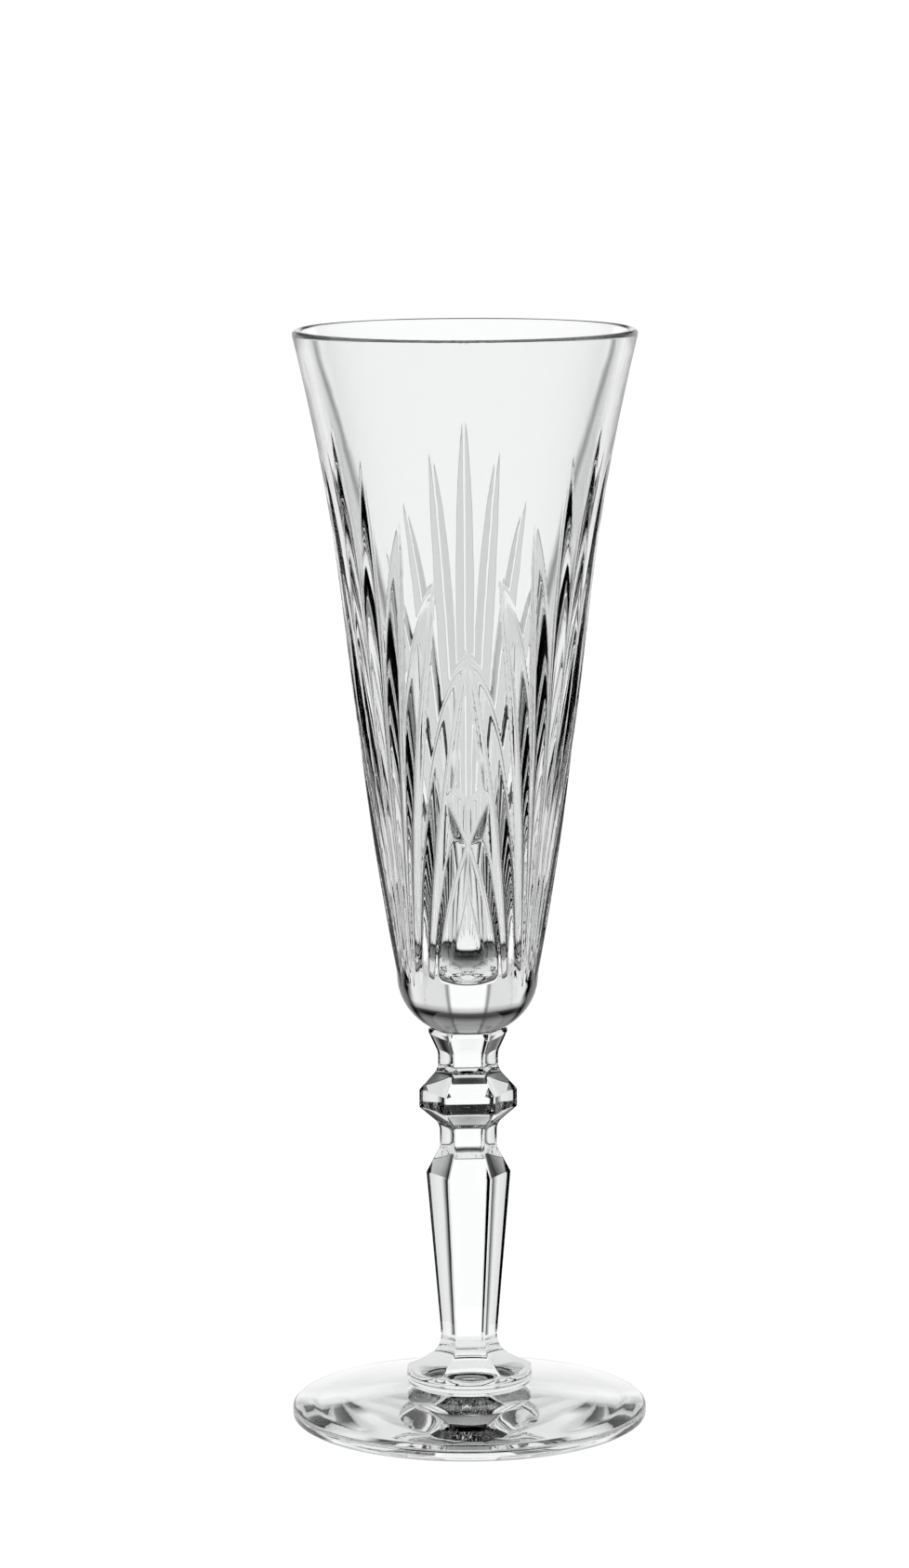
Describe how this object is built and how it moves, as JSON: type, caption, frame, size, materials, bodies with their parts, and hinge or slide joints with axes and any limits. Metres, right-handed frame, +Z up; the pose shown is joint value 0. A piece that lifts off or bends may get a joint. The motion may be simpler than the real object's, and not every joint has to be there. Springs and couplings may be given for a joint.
{
  "type": "champagne flute",
  "caption": "Tall stemmed champagne flute in clear crystal: flared bowl with cut fans and a solid ball base, six-sided stem with a knop, and a round foot.",
  "frame": {"origin": "centre of the foot's resting ring, on the surface the flute stands on", "axes": "+Z up along the stem towards the rim, -Y towards the side with an arch of the cut pattern"},
  "size_m": [0.0704, 0.0704, 0.216],
  "materials": {
    "cut_crystal": "clear fire-polished crystal with polished mitre cuts",
    "pressed_crystal": "clear pressed crystal, fire-polished, soft edges"
  },
  "bodies": {
    "root": {"bowl": "cut_crystal", "stem": "pressed_crystal", "foot": "pressed_crystal"}
  },
  "joints": []
}
